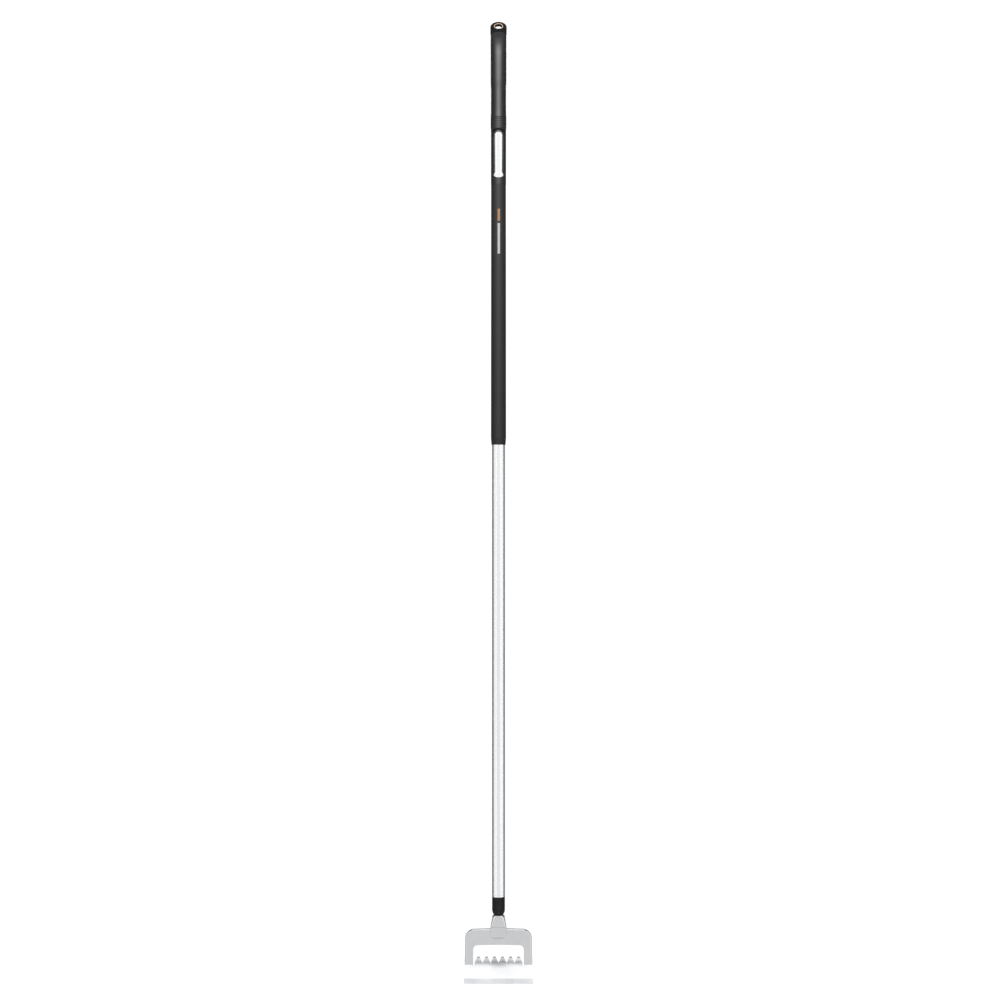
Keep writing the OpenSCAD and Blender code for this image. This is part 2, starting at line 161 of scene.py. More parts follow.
def joinShapes(bm, other, operation):  # a boolean of two closed shapes, given back as a new bmesh
    pair = []
    for part in (bm, other):
        mesh = bpy.data.meshes.new("joining")
        part.to_mesh(mesh)
        part.free()
        pair.append(bpy.data.objects.new("joining", mesh))
        bpy.context.scene.collection.objects.link(pair[-1])
    cut = pair[0].modifiers.new("cut", "BOOLEAN")
    cut.operation = operation
    cut.solver = "EXACT"
    cut.object = pair[1]
    bpy.context.view_layer.update()
    result = bpy.data.meshes.new_from_object(pair[0].evaluated_get(bpy.context.evaluated_depsgraph_get()))
    joined = bmesh.new()
    joined.from_mesh(result)
    for o in pair:
        bpy.data.objects.remove(o)
    bmesh.ops.remove_doubles(joined, verts=joined.verts, dist=0.0005)
    return joined


def finishPiece(name, bm, place, materials, slotName, nodes, sharp=35, weighted=False):
    bmesh.ops.transform(bm, matrix=place, verts=bm.verts)
    mesh = bpy.data.meshes.new(name)
    bm.to_mesh(mesh)
    bm.free()
    mesh.shade_smooth()
    mesh.set_sharp_from_angle(angle=math.radians(sharp))
    for m in materials:
        mesh.materials.append(m)
    piece = bpy.data.objects.new(name, mesh)
    bpy.context.scene.collection.objects.link(piece)
    if weighted:
        piece.modifiers.new("flats", "WEIGHTED_NORMAL").keep_sharp = True
    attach(piece, "root")
    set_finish(piece, slotName)
    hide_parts(*nodes)
    print(name, len(mesh.polygons), "faces")


def addNode(tree, kind, inputs=None, **settings):
    node = tree.nodes.new(kind)
    for key, value in settings.items():
        setattr(node, key, value)
    for key, value in (inputs or {}).items():
        if isinstance(value, bpy.types.NodeSocket):
            tree.links.new(value, node.inputs[key])
        else:
            node.inputs[key].default_value = value
    return node


def startMaterial(name):  # the tree, its shader and the object's own coordinates in metres
    material = bpy.data.materials.new(name)
    material.use_nodes = True
    tree = material.node_tree
    shader = tree.nodes["Principled BSDF"]
    where = addNode(tree, "ShaderNodeTexCoord").outputs["Object"]
    return material, tree, shader, where


def perMm(size):  # a texture scale that gives features of that many millimetres
    return 1000 / size


def blendColours(tree, share, first, second):
    return addNode(tree, "ShaderNodeMix", {0: share, 6: first, 7: second}, data_type="RGBA").outputs[2]


def spreadRoughness(tree, share, low, high):
    return addNode(tree, "ShaderNodeMapRange", {0: share, 3: low, 4: high}).outputs[0]


def finishSurface(tree, shader, colour, rough, height, strength, relief=0.0002):  # relief in metres
    bump = addNode(tree, "ShaderNodeBump", {"Height": height, "Strength": strength, "Distance": relief})
    tree.links.new(colour, shader.inputs["Base Color"])
    tree.links.new(rough, shader.inputs["Roughness"])
    tree.links.new(bump.outputs[0], shader.inputs["Normal"])


# Drawn aluminium tube, natural anodised: even satin with faint draw lines along its length.
tubeFinish = {"light": "#f2f3f4", "dark": "#e6e7e9", "roughness": (0.24, 0.32), "lineWidth": 1.6,
              "lineLength": 180, "bump": 0.05, "relief": 0.0001}


def anodisedAluminium():
    material, tree, shader, where = startMaterial("anodisedAluminium")
    f = tubeFinish
    stretch = (perMm(f["lineWidth"]), perMm(f["lineWidth"]), perMm(f["lineLength"]))
    along = addNode(tree, "ShaderNodeMapping", {"Vector": where, "Scale": stretch})
    lines = addNode(tree, "ShaderNodeTexNoise", {"Vector": along.outputs[0], "Scale": 1, "Detail": 3})
    tint = blendColours(tree, lines.outputs[0], toLinear(f["dark"]), toLinear(f["light"]))
    rough = spreadRoughness(tree, lines.outputs[0], *f["roughness"])
    shader.inputs["Metallic"].default_value = 1
    finishSurface(tree, shader, tint, rough, lines.outputs[0], f["bump"], f["relief"])
    return material


# A moulded polymer: fine spark-eroded grain, a slow mottle and rubbed spots. Grain in millimetres.
polymers = {
    "gripElastomer": {"base": "#141417", "worn": "#1a1a1e", "roughness": (0.5, 0.56), "specular": 0.9,
                      "grain": 0.6, "bump": 0.12},  # soft overmould, matt but smooth to the hand
    "sleeveElastomer": {"base": "#202021", "worn": "#262627", "roughness": (0.6, 0.68), "specular": 0.4,
                        "grain": 0.8, "bump": 0.15},  # extruded soft sleeve, neutral satin
    "glassFilledNylon": {"base": "#1c1c1d", "worn": "#222223", "roughness": (0.52, 0.6), "specular": 0.6,
                         "grain": 0.5, "bump": 0.1},  # hard black mouldings with a fine eroded skin
    "shadedNylon": {"base": "#0e0e0f", "worn": "#131314", "roughness": (0.56, 0.62), "specular": 0.35,
                  "grain": 0.5, "bump": 0.1},  # the end piece: the same eroded nylon made a deeper black, painted shade on its upturned end
    "orangeNylon": {"base": "#f4611a", "worn": "#f8722c", "roughness": (0.38, 0.46), "specular": 0.5,
                    "grain": 0.5, "bump": 0.06},  # through-coloured, a little glossier than the black
    "paleNylon": {"base": "#d8b09a", "worn": "#dcb8a4", "roughness": (0.4, 0.5), "specular": 0.5,
                  "grain": 0.5, "bump": 0.06},  # the eye's lip, faded by sun and rubbing
    # near-black and hardly reflecting: painted shade laid in the joint arched over the window
    "paintedShadeRubber": {"base": "#060606", "worn": "#0b0b0b", "roughness": (0.9, 0.95), "specular": 0.1,
                     "grain": 0.8, "bump": 0.1},  # foam strip at the bottom of a joint, which hardly reflects
}


def mouldedPolymer(name):
    material, tree, shader, where = startMaterial(name)
    f = polymers[name]
    mottle = addNode(tree, "ShaderNodeTexNoise", {"Vector": where, "Scale": perMm(22), "Detail": 4})
    grain = addNode(tree, "ShaderNodeTexVoronoi", {"Vector": where, "Scale": perMm(f["grain"])})
    colour = blendColours(tree, mottle.outputs[0], toLinear(f["base"]), toLinear(f["worn"]))
    rough = spreadRoughness(tree, mottle.outputs[0], *f["roughness"])
    shader.inputs["Specular IOR Level"].default_value = f["specular"]
    finishSurface(tree, shader, colour, rough, grain.outputs[0], f["bump"])
    return material, tree, shader, where


# The sleeve carries a plain printed stripe in two lengths, orange above and pale below, all round numbers.
stripe = {"middle": 0.5, "halfWidth": 2.0, "orange": (-0.3292, -0.3092), "pale": (-0.3842, -0.3332),
          "orangeInk": "#8c6644", "paleInk": "#9a9a9e"}


def printedSleeve():
    material, tree, shader, where = mouldedPolymer("sleeveElastomer")
    cloth = shader.inputs["Base Color"].links[0].from_socket
    axes = addNode(tree, "ShaderNodeSeparateXYZ", {0: where})
    front = addNode(tree, "ShaderNodeMath", {0: axes.outputs["Y"], 1: axisAt.y}, operation="LESS_THAN")
    across = addNode(tree, "ShaderNodeMath", {0: axes.outputs["X"], 1: stripe["middle"] / 1000,
                                              2: stripe["halfWidth"] / 1000}, operation="COMPARE")
    band = addNode(tree, "ShaderNodeMath", {0: front.outputs[0], 1: across.outputs[0]}, operation="MULTIPLY")
    for ink in ("orange", "pale"):
        low, high = stripe[ink]
        reach = {0: axes.outputs["Z"], 1: (low + high) / 2, 2: (high - low) / 2}
        span = addNode(tree, "ShaderNodeMath", reach, operation="COMPARE")
        mask = addNode(tree, "ShaderNodeMath", {0: band.outputs[0], 1: span.outputs[0]}, operation="MULTIPLY")
        cloth = blendColours(tree, mask.outputs[0], cloth, toLinear(stripe[ink + "Ink"]))
    tree.links.new(cloth, shader.inputs["Base Color"])
    return material


# Steel of the head: pressed, blasted and plated, so a soft silver; ground faces show grinding lines.
steels = {
    "platedSteel": {"light": "#d5d6d7", "dark": "#cfd0d2", "roughness": (0.2, 0.25), "line": (9, 9, 9),
                    "bump": 0.004},  # pressed sheet under a thin plating
    "groundSteel": {"light": "#dedfe1", "dark": "#cacccf", "roughness": (0.3, 0.42), "line": (0.8, 30, 30),
                    "bump": 0.05},  # lines run from the edge up the bevel
    "weldedSteel": {"light": "#cfd0d1", "dark": "#b0b2b4", "roughness": (0.32, 0.5), "line": (1.5, 1.5, 1.5),
                    "bump": 0.2},  # bead metal, duller than the plate
    "pinSteel": {"light": "#3c3d3f", "dark": "#2e2f31", "roughness": (0.3, 0.4), "line": (2, 2, 2),
                 "bump": 0.05},  # blackened bar
}


def headSteel(name):
    material, tree, shader, where = startMaterial(name)
    f = steels[name]
    size = [perMm(s) for s in f["line"]]
    along = addNode(tree, "ShaderNodeMapping", {"Vector": where, "Scale": size})
    lines = addNode(tree, "ShaderNodeTexNoise", {"Vector": along.outputs[0], "Scale": 1, "Detail": 4})
    cloud = addNode(tree, "ShaderNodeTexNoise", {"Vector": where, "Scale": perMm(40), "Detail": 2})
    blend = addNode(tree, "ShaderNodeMath", {0: lines.outputs[0], 1: cloud.outputs[0]}, operation="MULTIPLY")
    spread = addNode(tree, "ShaderNodeMapRange", {0: blend.outputs[0], 1: 0.1, 2: 0.45})
    tint = blendColours(tree, spread.outputs[0], toLinear(f["dark"]), toLinear(f["light"]))
    rough = spreadRoughness(tree, spread.outputs[0], *f["roughness"][::-1])
    shader.inputs["Metallic"].default_value = 1
    finishSurface(tree, shader, tint, rough, lines.outputs[0], f["bump"])
    return material


aluminium = anodisedAluminium()
gripRubber = mouldedPolymer("gripElastomer")[0]
sleeveRubber = printedSleeve()
blackNylon = mouldedPolymer("glassFilledNylon")[0]
# A darker copy of the black nylon: painted shade on the end piece and inside the eye.
shadedNylon = mouldedPolymer("shadedNylon")[0]
orangeNylon = mouldedPolymer("orangeNylon")[0]
paleNylon = mouldedPolymer("paleNylon")[0]
# Near-black material that paints the shade in the collar's joint over the window.
shadeBlack = mouldedPolymer("paintedShadeRubber")[0]
plated = headSteel("platedSteel")
ground = headSteel("groundSteel")
welded = headSteel("weldedSteel")
pinMetal = headSteel("pinSteel")
print("materials made")


tube = {"radius": (tubeHigh.x - tubeLow.x) * 500, "wall": 1.2, "crimpAt": 3.6, "crimp": 0.5, "endRound": 0.25}


def makeTube():
    t = tube
    outer, inner = t["radius"], t["radius"] - t["wall"]
    c = t["crimp"]
    groove = [(outer - c * math.sin(math.pi * k / 8), t["crimpAt"] - c * math.cos(math.pi * k / 8))
              for k in range(9)]
    corners = [(inner, 0, t["endRound"]), (outer, 0, t["endRound"])]
    corners += [(r, z, 0) for r, z in groove]
    corners += [(outer, tubeLength, t["endRound"]), (inner, tubeLength, t["endRound"])]
    bm = bmesh.new()
    spinProfile(bm, roundCorners(corners), 120)
    finishPiece("drawnTube", bm, toRow, [aluminium], "aluminium", ["shaft_tube"])


makeTube()


# Centre line by s from the tube's top: straight, a bend backwards, straight again to the hanging hole.
handle = {"bendRadius": 70, "bendAngle": 40, "bendStart": 63, "collarDrop": 42, "gap": 0.1,
          "plug": 60, "endStep": 0.45}
bendLength = handle["bendRadius"] * math.radians(handle["bendAngle"])
gripEnd = handle["bendStart"] + bendLength - 8
waist = tube["radius"] + 1.75
palm = tube["radius"] + 2.35
heel = tube["radius"] + 4

# Stations of the grip: s, half width, front depth, back depth, soft layer, squareness.
gripStations = [
    (-handle["collarDrop"], tube["radius"] + 2.15, tube["radius"] + 2.15, tube["radius"] + 2.15, 1.75, 2),
    (-30, waist, waist, waist, 1.75, 2),
    (5, waist, waist, waist, 1.75, 2),
    (22, palm, palm, heel - 1, 2.2, 2.05),
    (46, palm, palm, heel, 2.2, 2.1),
    (63, palm, palm - 0.2, heel - 1.2, 2.2, 2.15),
    (74, palm, palm - 1.2, heel - 3, 2.2, 2.17),
    (handle["bendStart"] + bendLength / 2, palm, 9.2, 9.2, 2.2, 2.2),
    (gripEnd, palm, 5.7, 5.7, 2.2, 2.5),
]


def centreLine(s):  # y, z and tilt of the handle's centre line
    h = handle
    turned = min(math.radians(h["bendAngle"]), max(0, s - h["bendStart"]) / h["bendRadius"])
    beyond = max(0, s - h["bendStart"] - bendLength)
    y = h["bendRadius"] * (1 - math.cos(turned)) + beyond * math.sin(turned)
    z = min(s, h["bendStart"]) + h["bendRadius"] * math.sin(turned) + beyond * math.cos(turned)
    return y, tubeLength + z, turned


def stationSlope(i, k):
    rises = [(gripStations[j + 1][k] - gripStations[j][k]) / (gripStations[j + 1][0] - gripStations[j][0])
             for j in (i - 1, i) if 0 <= j < len(gripStations) - 1]
    if len(rises) < 2 or rises[0] * rises[1] <= 0:
        return 0
    return 2 / (1 / rises[0] + 1 / rises[1])


def stationAt(s, k):
    last = len(gripStations) - 2
    i = max(j for j in range(last + 1) if j == 0 or s > gripStations[j][0])
    h = gripStations[i + 1][0] - gripStations[i][0]
    t = max(0, min(1, (s - gripStations[i][0]) / h))
    ends = gripStations[i][k] * (1 + 2 * t) * (1 - t) ** 2 + gripStations[i + 1][k] * t * t * (3 - 2 * t)
    return ends + h * t * (1 - t) * (stationSlope(i, k) * (1 - t) - stationSlope(i + 1, k) * t)


def handlePoint(s, inset, share):  # a point on the handle's section at s, share of the way round
    across, depth = squircle(2 * math.pi * share, 2 / stationAt(s, 5))
    x = (stationAt(s, 1) - inset) * across
    y = (stationAt(s, 2 if depth < 0 else 3) - inset) * depth
    lineY, lineZ, turned = centreLine(s)
    return Vector((x, lineY + y * math.cos(turned), lineZ - y * math.sin(turned)))


def stops(low, high, step):
    count = max(1, round((high - low) / step))
    return [mix(low, high, k / count) for k in range(count + 1)]


grip = {"sides": 72, "step": 2.5, "endRound": 0.7}


def ringStations(low, high, step, inner, roundness):  # (s, inset) up the outside and down the inside
    outside = [(low + roundness * (1 - math.sin(a)), roundness * (1 - math.cos(a)))
               for a in (math.pi / 2 * k / 3 for k in range(3, 0, -1))]
    outside += [(s, 0) for s in stops(low + roundness, high - roundness, step)]
    outside += [(high - roundness * (1 - math.sin(a)), roundness * (1 - math.cos(a)))
                for a in (math.pi / 2 * k / 3 for k in range(1, 4))]
    inside = [(s, inner(s)) for s in stops(low, high, step * 2)]
    return outside + inside[::-1] + outside[:1]


inlay = {"length": 34, "top": 4, "thick": 1, "gap": 0.12, "halfTurn": 84, "sides": 88, "corner": 7}


def inlayShape(bm, grow):  # a curved panel round the back of the waist
    i = inlay
    middle = tubeLength + i["top"] - i["length"] / 2
    halfHigh = i["length"] / 2 + grow
    halfWide = math.radians(i["halfTurn"]) * waist + grow
    inner, outer = waist - i["thick"] - grow, waist + (2 if grow else 0)
    shares = [k / 14 for k in range(15)]
    rounding = [(1, 0)] if grow else [(1 - 0.012 * math.sin(a), 0.25 * math.cos(a))
                                      for a in (math.pi / 2 * k / 3 for k in range(4))]
    rings = [(t, inner) for t in shares] + [(t, outer - d) for t, d in rounding] + \
            [(t, outer) for t in shares[-2::-1]]

    def shape(ring, k):
        share, radius = ring
        across, up = squircle(2 * math.pi * k / i["sides"], 2 / i["corner"])
        turn = across * halfWide * share / waist
        return Vector((radius * math.sin(turn), radius * math.cos(turn), middle + up * halfHigh * share))

    loftRings(bm, i["sides"], rings, shape)


def makeGrip():
    bm = bmesh.new()
    stations = ringStations(-handle["collarDrop"], gripEnd, grip["step"], lambda s: stationAt(s, 4) - 0.1,
                            grip["endRound"])
    loftRings(bm, grip["sides"], stations, lambda ring, k: handlePoint(ring[0], ring[1], k / grip["sides"]))
    recess = bmesh.new()
    inlayShape(recess, inlay["gap"])
    bm = joinShapes(bm, recess, "DIFFERENCE")
    finishPiece("gripSkin", bm, toRow, [gripRubber], "soft_grip", ["palm_grip"])
    bm = bmesh.new()
    inlayShape(bm, 0)
    finishPiece("backInlay", bm, toRow, [orangeNylon], "orange_plastic", ["grip_inlay"])


makeGrip()

# The hard end, drawn flat: x across, y up the handle from the hole, z out of its front.
toHole = Matrix.Rotation(math.radians(90 - handle["bendAngle"]), 4, "X") @ Matrix.Scale(0.001, 4)
endPiece = {"radius": 13.93, "half": 4, "sides": 96, "hole": 5.8, "seat": 7.8, "seatDepth": 3.4, "cone": 2.6,
            "coneReach": 3.2, "foot": -16.5, "join": -15}


def endThickness(x, y):
    e = endPiece
    low = smooth(-y / -e["join"])
    half = mix(e["half"], stationAt(gripEnd, 2) + handle["endStep"], low)
    wide = mix(e["radius"], palm + handle["endStep"], low)
    away = math.hypot(x, y) / e["radius"] if y > 0 else abs(x) / wide
    power = mix(4, stationAt(gripEnd, 5), low)
    return half * max(0, 1 - min(1, away) ** power) ** (1 / power)


def endOutline(angle):
    e = endPiece
    c, s = math.cos(angle), math.sin(angle)
    if s >= 0:
        return Vector((e["radius"] * c, e["radius"] * s))
    wide = palm + handle["endStep"]
    reach = min(wide / max(abs(c), 1e-6), e["foot"] / s)
    y = reach * s
    edge = mix(e["radius"], wide, smooth(y / e["join"]))
    reach = min(edge / max(abs(c), 1e-6), e["foot"] / s)
    return Vector((reach * c, reach * s))


def makeEnd():
    e = endPiece

    def shape(ring, k):
        kind, value = ring
        angle = 2 * math.pi * k / e["sides"]
        around = Vector((math.cos(angle), math.sin(angle)))
        if kind == "wall":  # radius and height of a turned face
            p = around * value[0]
            return Vector((p.x, p.y, value[1]))
        start = around * (e["seat"] if kind == "front" else e["hole"] + e["coneReach"])
        p = start.lerp(endOutline(angle), value)
        z = endThickness(p.x, p.y)
        return Vector((p.x, p.y, z if kind == "front" else -z))

    shares = [math.sin(math.pi / 2 * k / 14) for k in range(15)]
    seatZ = e["half"] - e["seatDepth"]
    rings = [("front", t) for t in shares] + [("back", t) for t in shares[::-1]]
    coneTop = -e["half"] + e["cone"]
    rings += [("wall", (e["hole"] + 0.3, coneTop)), ("wall", (e["hole"], coneTop + 0.4))]
    rings += [("wall", (e["hole"], seatZ)), ("wall", (e["seat"], seatZ)), ("front", 0)]
    bm = bmesh.new()
    loftRings(bm, e["sides"], rings, shape)
    bmesh.ops.transform(bm, matrix=toRow.inverted() @ toHole, verts=bm.verts)
    core = bmesh.new()
    inside = [(0, None)] + [(s, 0) for s in stops(0, gripEnd + 1.5, 4)] + [(gripEnd + 1.5, None)]

    def coreShape(ring, k):
        s, inset = ring
        if inset is None:
            y, z, _ = centreLine(s)
            return Vector((0, y, z))
        return handlePoint(s, stationAt(s, 4), k / 64)

    loftRings(core, 64, inside, coreShape)
    bm = joinShapes(bm, core, "UNION")
    plug = bmesh.new()
    radius = tube["radius"] - tube["wall"] - handle["gap"]
    low = tubeLength - handle["plug"]
    spinProfile(plug, roundCorners([(0, low, 0), (radius, low, 1), (radius, tubeLength + 1.5, 0),
                                    (0, tubeLength + 1.5, 0)]), 64)
    bm = joinShapes(bm, plug, "UNION")
    finishPiece("handleEnd", bm, toRow, [shadedNylon], "hard_plastic", ["handle_core"])


makeEnd()

eye = {"inner": 5.9, "outer": 7.7, "mouth": 6.7, "floor": 0.8, "lip": 0.5}


def makeEye():
    e, base = eye, endPiece["half"] - endPiece["seatDepth"]
    top = endThickness(0, e["outer"]) - 0.02
    bm = bmesh.new()
    spinProfile(bm, roundCorners([
        (e["inner"], base, 0.15), (e["outer"], base, 0.15), (e["outer"], top, 0.2),
        (e["mouth"], top + 0.06, 0.35), (e["inner"], base + e["floor"], 0.3)]), 96)
    for f in bm.faces:  # below the lip the eye's wall takes the shaded black, painted shade inside the hole
        if f.calc_center_median().z < top - e["lip"]:
            f.material_index = 1
    finishPiece("hangEye", bm, toHole, [paleNylon, shadedNylon], "orange_plastic", ["hang_ring"])


makeEye()


collar = {"length": 112, "radius": tube["radius"] + 1.65, "band": tube["radius"] + 2.15, "bandLength": 21,
          "fade": 5, "bore": tube["radius"] + 0.1, "windowRise": 11, "windowHigh": 77, "windowWide": 14.8,
          "footWide": 19, "footHigh": 11, "bowl": 5.1, "bowlTurn": 0.92, "bowlTop": 4.6, "bowlSpread": 14,
          "narrowing": 0.6, "crown": 4.4, "crownPower": 0.8, "crownCentre": 3, "archDrop": 9, "archFade": 6,
          "grooves": (3.2, 7.0, 10.8, 14.6), "grooveDepth": 0.28, "grooveHalf": 0.9}
collarTop = tubeLength - handle["collarDrop"]
collarLow = collarTop - collar["length"]


def windowPoints(count):  # right half of the window, from its foot's middle up to the top's middle
    c = collar
    low = collarLow + c["windowRise"]
    head, foot = c["windowWide"] / 2, c["footWide"] / 2
    side = head - c["narrowing"]
    sideLow, sideTop = low + c["footHigh"], low + c["windowHigh"] - c["crown"]
    steps = 2 * count
    bowl = [(foot * math.sin(a), low + c["bowl"] * (1 - math.cos(a)))
            for a in (math.pi / 2 * c["bowlTurn"] * k / count for k in range(count + 1))]
    rise = [(mix(foot, side, smooth(k / count)), mix(low + c["bowlTop"], sideLow, k / count))
            for k in range(1, count + 1)]
    straight = [(mix(side, head, k / steps), mix(sideLow, sideTop, k / steps)) for k in range(1, steps + 1)]
    crown = [(head * math.cos(a) ** c["crownPower"], sideTop + c["crown"] * math.sin(a))
             for a in (math.pi / 2 * k / count for k in range(1, count + 1))]
    return bowl + rise + straight + crown


def makeCollar():
    c = collar
    n = 8
    half = windowPoints(n)
    windowTop = collarLow + c["windowRise"] + c["windowHigh"]
    # Matching points on the half panel's border: across the foot, up the side and back over the top.
    quarter = math.pi / 2
    border = [(quarter * k / n, collarLow) for k in range(n + 1)]
    sideCount = 3 * n
    border += [(quarter, mix(collarLow, collarTop, k / sideCount)) for k in range(1, sideCount + 1)]
    border += [(quarter * (1 - k / n), collarTop) for k in range(1, n + 1)]
    border = border[:len(half)]

    def outerRadius(z, a=2):  # a shallow row of grooves crosses the front and back of the band
        low = collarTop - c["bandLength"]
        full = mix(c["radius"], c["band"], smooth((z - low) / c["fade"]))
        groove = sum(max(0, 1 - abs(z - collarTop + g) / c["grooveHalf"]) for g in c["grooves"])
        return full - c["grooveDepth"] * groove * smooth((1.05 - a) / 0.3)

    # Each row steps away from the window: distance beside it, distance above it, depth below the skin.
    rows = [(0, 0, 0.75, 0.3), (0.25, 0.3, 0.4, 0.1), (0.7, 2.6, 0.12, 0.3), (1.1, 2.9, 0.03, 1.05),
            (1.3, 4.9, 0, 1.05), (1.5, 5.2, 0, 0)]
    shares = [k / 36 for k in range(1, 37)]
    crownCentre = Vector((0, windowTop - c["crown"] - c["crownCentre"]))

    def place(row, index):  # angle round the axis, height and depth below the skin
        if not isinstance(row, tuple):  # a share of the way from the last row to the border
            a, z, _ = place(rows[-1], index)
            turn, edge = border[index]
            return mix(a, turn, row), mix(z, edge, row), 0
        x, z = half[index]
        top = smooth((z - (windowTop - c["archDrop"])) / c["archFade"])
        away = Vector((x, z - crownCentre.y)) if z >= crownCentre.y else Vector((1, 0))
        if index <= n:
            away = Vector((x / c["bowlSpread"], -1))
        away.normalize()
        step = mix(row[0], row[1], top)
        x, z = x + away.x * step, z + away.y * step
        return math.asin(min(1, x / outerRadius(z))), z, mix(row[2], row[3], top)

    def shape(row, index):
        a, z, sink = place(row, index)
        radius = outerRadius(z, a) - sink
        return Vector((radius * math.sin(a), -radius * math.cos(a), z))

    bm = bmesh.new()
    layer = placeLayer(bm)
    verts = []
    for i in range(len(half)):
        v = bm.verts.new(shape(rows[0], i))
        v[layer] = i
        verts.append(v)
    edges = [bm.edges.new(pair) for pair in zip(verts, verts[1:])]
    for row in rows[1:] + shares:
        known = set(bm.faces)
        edges = sweepRow(bm, edges, shape, row)
        joint = row in rows[3:5]  # the joint arched over the window, whose faces get the near-black painted shade
        for f in set(bm.faces) - known:
            f.material_index = int(joint and f.calc_center_median().z > windowTop + 1)
    for axis in ("X", "Y"):
        bmesh.ops.mirror(bm, geom=bm.verts[:] + bm.edges[:] + bm.faces[:], axis=axis, merge_dist=0.001)
    tidyShell(bm)
    thicken(bm, c["bore"])
    bevelEdges(bm, 0.3, 2, 50)
    finishPiece("windowCollar", bm, toRow, [blackNylon, shadeBlack], "hard_plastic", ["window_collar"],
                weighted=True)


def thicken(bm, bore):  # walls down to a bore round the axis
    made = bmesh.ops.extrude_face_region(bm, geom=bm.faces[:], use_keep_orig=True)["geom"]
    for v in made:
        if isinstance(v, bmesh.types.BMVert):
            flat = Vector((v.co.x, v.co.y)).normalized() * bore
            v.co = Vector((flat.x, flat.y, v.co.z))
    bmesh.ops.recalc_face_normals(bm, faces=bm.faces)


def roundEdges(bm, edges, size, segments):
    bmesh.ops.bevel(bm, geom=edges, offset=size, offset_type="OFFSET", segments=segments, profile=0.5,
                    affect="EDGES", clamp_overlap=True, material=-1)


def bevelEdges(bm, size, segments, angle, skip=None):  # every edge sharper than angle
    least = math.radians(angle)
    sharpEdges = [e for e in bm.edges if len(e.link_faces) == 2 and e.calc_face_angle(0) > least]
    roundEdges(bm, [e for e in sharpEdges if not (skip and skip(e))], size, segments)


makeCollar()

sleeve = {"length": 437, "top": tube["radius"] + 1.45, "bottom": tube["radius"] + 1.65, "taper": 11,
          "taperRadius": tube["radius"] + 0.8, "bore": tube["radius"] + 0.1, "seam": 0.05}


def makeSleeve():
    s = sleeve
    low = collarLow - s["length"]
    bm = bmesh.new()
    spinProfile(bm, roundCorners([
        (s["bore"], low, 0.2), (s["taperRadius"], low, 0.5), (s["bottom"], low + s["taper"], 12),
        (s["top"], collarLow - s["seam"], 0.5), (s["bore"], collarLow - s["seam"], 0.2)], 6), 120)
    finishPiece("longSleeve", bm, toRow, [sleeveRubber], "soft_sleeve", ["long_sleeve"])


makeSleeve()


ferrule = {"radius": tube["radius"] - 0.2, "length": 31, "nose": 9.5, "noseRadius": 14, "plug": 45,
           "bore": 5.1,
           "seat": 7.03, "slotTop": -5.6, "slotLow": -10.6, "slots": 20, "slotDepth": 0.4, "pinAt": -18.5,
           "pinHole": 1.85, "dimpleAt": -25.2, "dimpleWide": 4.2, "dimpleHigh": 2.4}
noseTurn = math.asin(ferrule["nose"] / ferrule["noseRadius"])
seatRadius = ferrule["radius"] - ferrule["noseRadius"] * (1 - math.cos(noseTurn))


def makeFerrule():
    f = ferrule
    plugRadius = tube["radius"] - tube["wall"] - 0.1
    straight = -f["length"] + f["nose"]

    def noseAt(turn):  # radius of the rounded nose where its arc has turned that far
        return f["radius"] - f["noseRadius"] * (1 - math.cos(turn))

    arc = [(noseAt(noseTurn * k / 12),
            straight - f["noseRadius"] * math.sin(noseTurn * k / 12)) for k in range(1, 13)]
    profile = roundCorners(
        [(f["bore"], f["plug"], 0), (plugRadius, f["plug"], 1.2), (plugRadius, 0, 0), (f["radius"], 0, 0.3),
         (f["radius"], f["slotTop"], 0), (f["radius"], f["slotLow"], 0), (f["radius"], straight, 0)]
        + [(r, z, 0) for r, z in arc]
        + [(seatRadius, -f["length"] - f["seat"], 0), (f["bore"], -f["length"] - f["seat"], 0)])
    bm = bmesh.new()
    spinProfile(bm, profile, 8 * f["slots"])
    slots = []
    for face in bm.faces:
        c = face.calc_center_median()
        sector = math.degrees(math.atan2(c.y, c.x)) % (360 / f["slots"]) / (360 / f["slots"]) * 8
        if f["slotLow"] < c.z < f["slotTop"] and c.xy.length > f["bore"] + 1 and 2 < sector < 5:
            slots.append(face)
    bmesh.ops.inset_region(bm, faces=slots, thickness=0.12, depth=-f["slotDepth"], use_even_offset=True)
    for height, wide, high, deep in ((f["pinAt"], f["pinHole"], f["pinHole"], None),
                                     (f["dimpleAt"], f["dimpleWide"], f["dimpleHigh"], 1.1)):
        for side in (-1, 1):
            cutter = bmesh.new()
            if deep is None:
                bmesh.ops.create_cone(cutter, cap_ends=True, segments=32, radius1=wide, radius2=wide, depth=8,
                                      matrix=Matrix.Translation((0, side * 11, height))
                                      @ Matrix.Rotation(math.pi / 2, 4, "X"))
            else:
                r = noseAt(math.asin((straight - height) / f["noseRadius"]))
                bmesh.ops.create_uvsphere(cutter, u_segments=32, v_segments=16, radius=1,
                                          matrix=Matrix.Translation((0, side * (r + 0.35), height))
                                          @ Matrix.Diagonal((wide, deep, high, 1)))
            bm = joinShapes(bm, cutter, "DIFFERENCE")
    finishPiece("noseFerrule", bm, toRow, [blackNylon], "hard_plastic", ["ferrule"], sharp=30)


makeFerrule()


